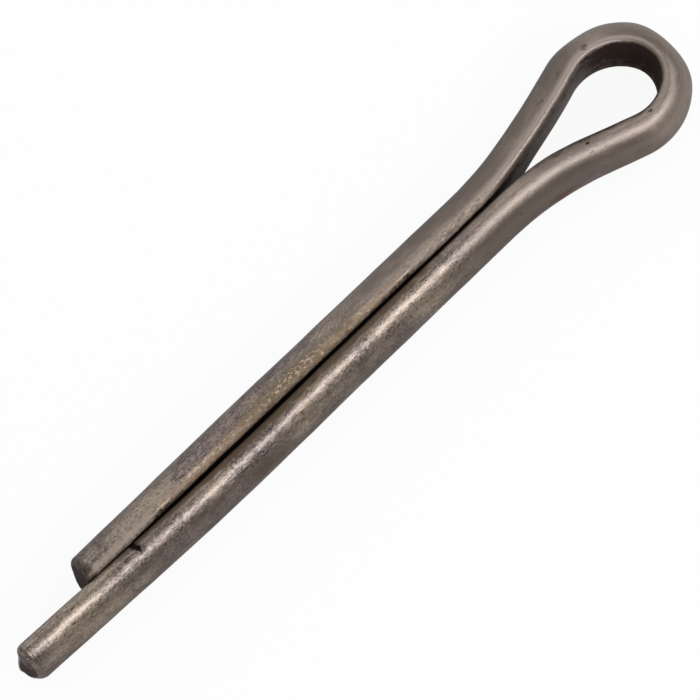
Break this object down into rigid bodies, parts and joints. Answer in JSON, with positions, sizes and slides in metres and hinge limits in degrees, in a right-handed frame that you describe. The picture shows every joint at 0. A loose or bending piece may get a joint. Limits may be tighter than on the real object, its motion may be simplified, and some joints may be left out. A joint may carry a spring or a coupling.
{
  "type": "cotter pin",
  "caption": "Split pin of half-round steel wire bent double, flats together, with a teardrop eye and parallel legs of unequal length, pushed through a cross hole to lock a nut or shaft.",
  "frame": {"origin": "on the shank axis, midway between the legs, where the short leg begins to part under the eye", "axes": "+X along the legs to their ends, +Z square to the plane of the eye, so the long leg is on the +Y side and the eye on the -X side; the pin lies flat"},
  "size_m": [0.0768, 0.0123, 0.0058],
  "materials": {
    "steel_wire": "plain drawn steel wire, dull grey-brown, fine speckled grain along the wire, light brown staining beside the seam"
  },
  "bodies": {
    "root": {"cotter_pin": "steel_wire"}
  },
  "joints": []
}
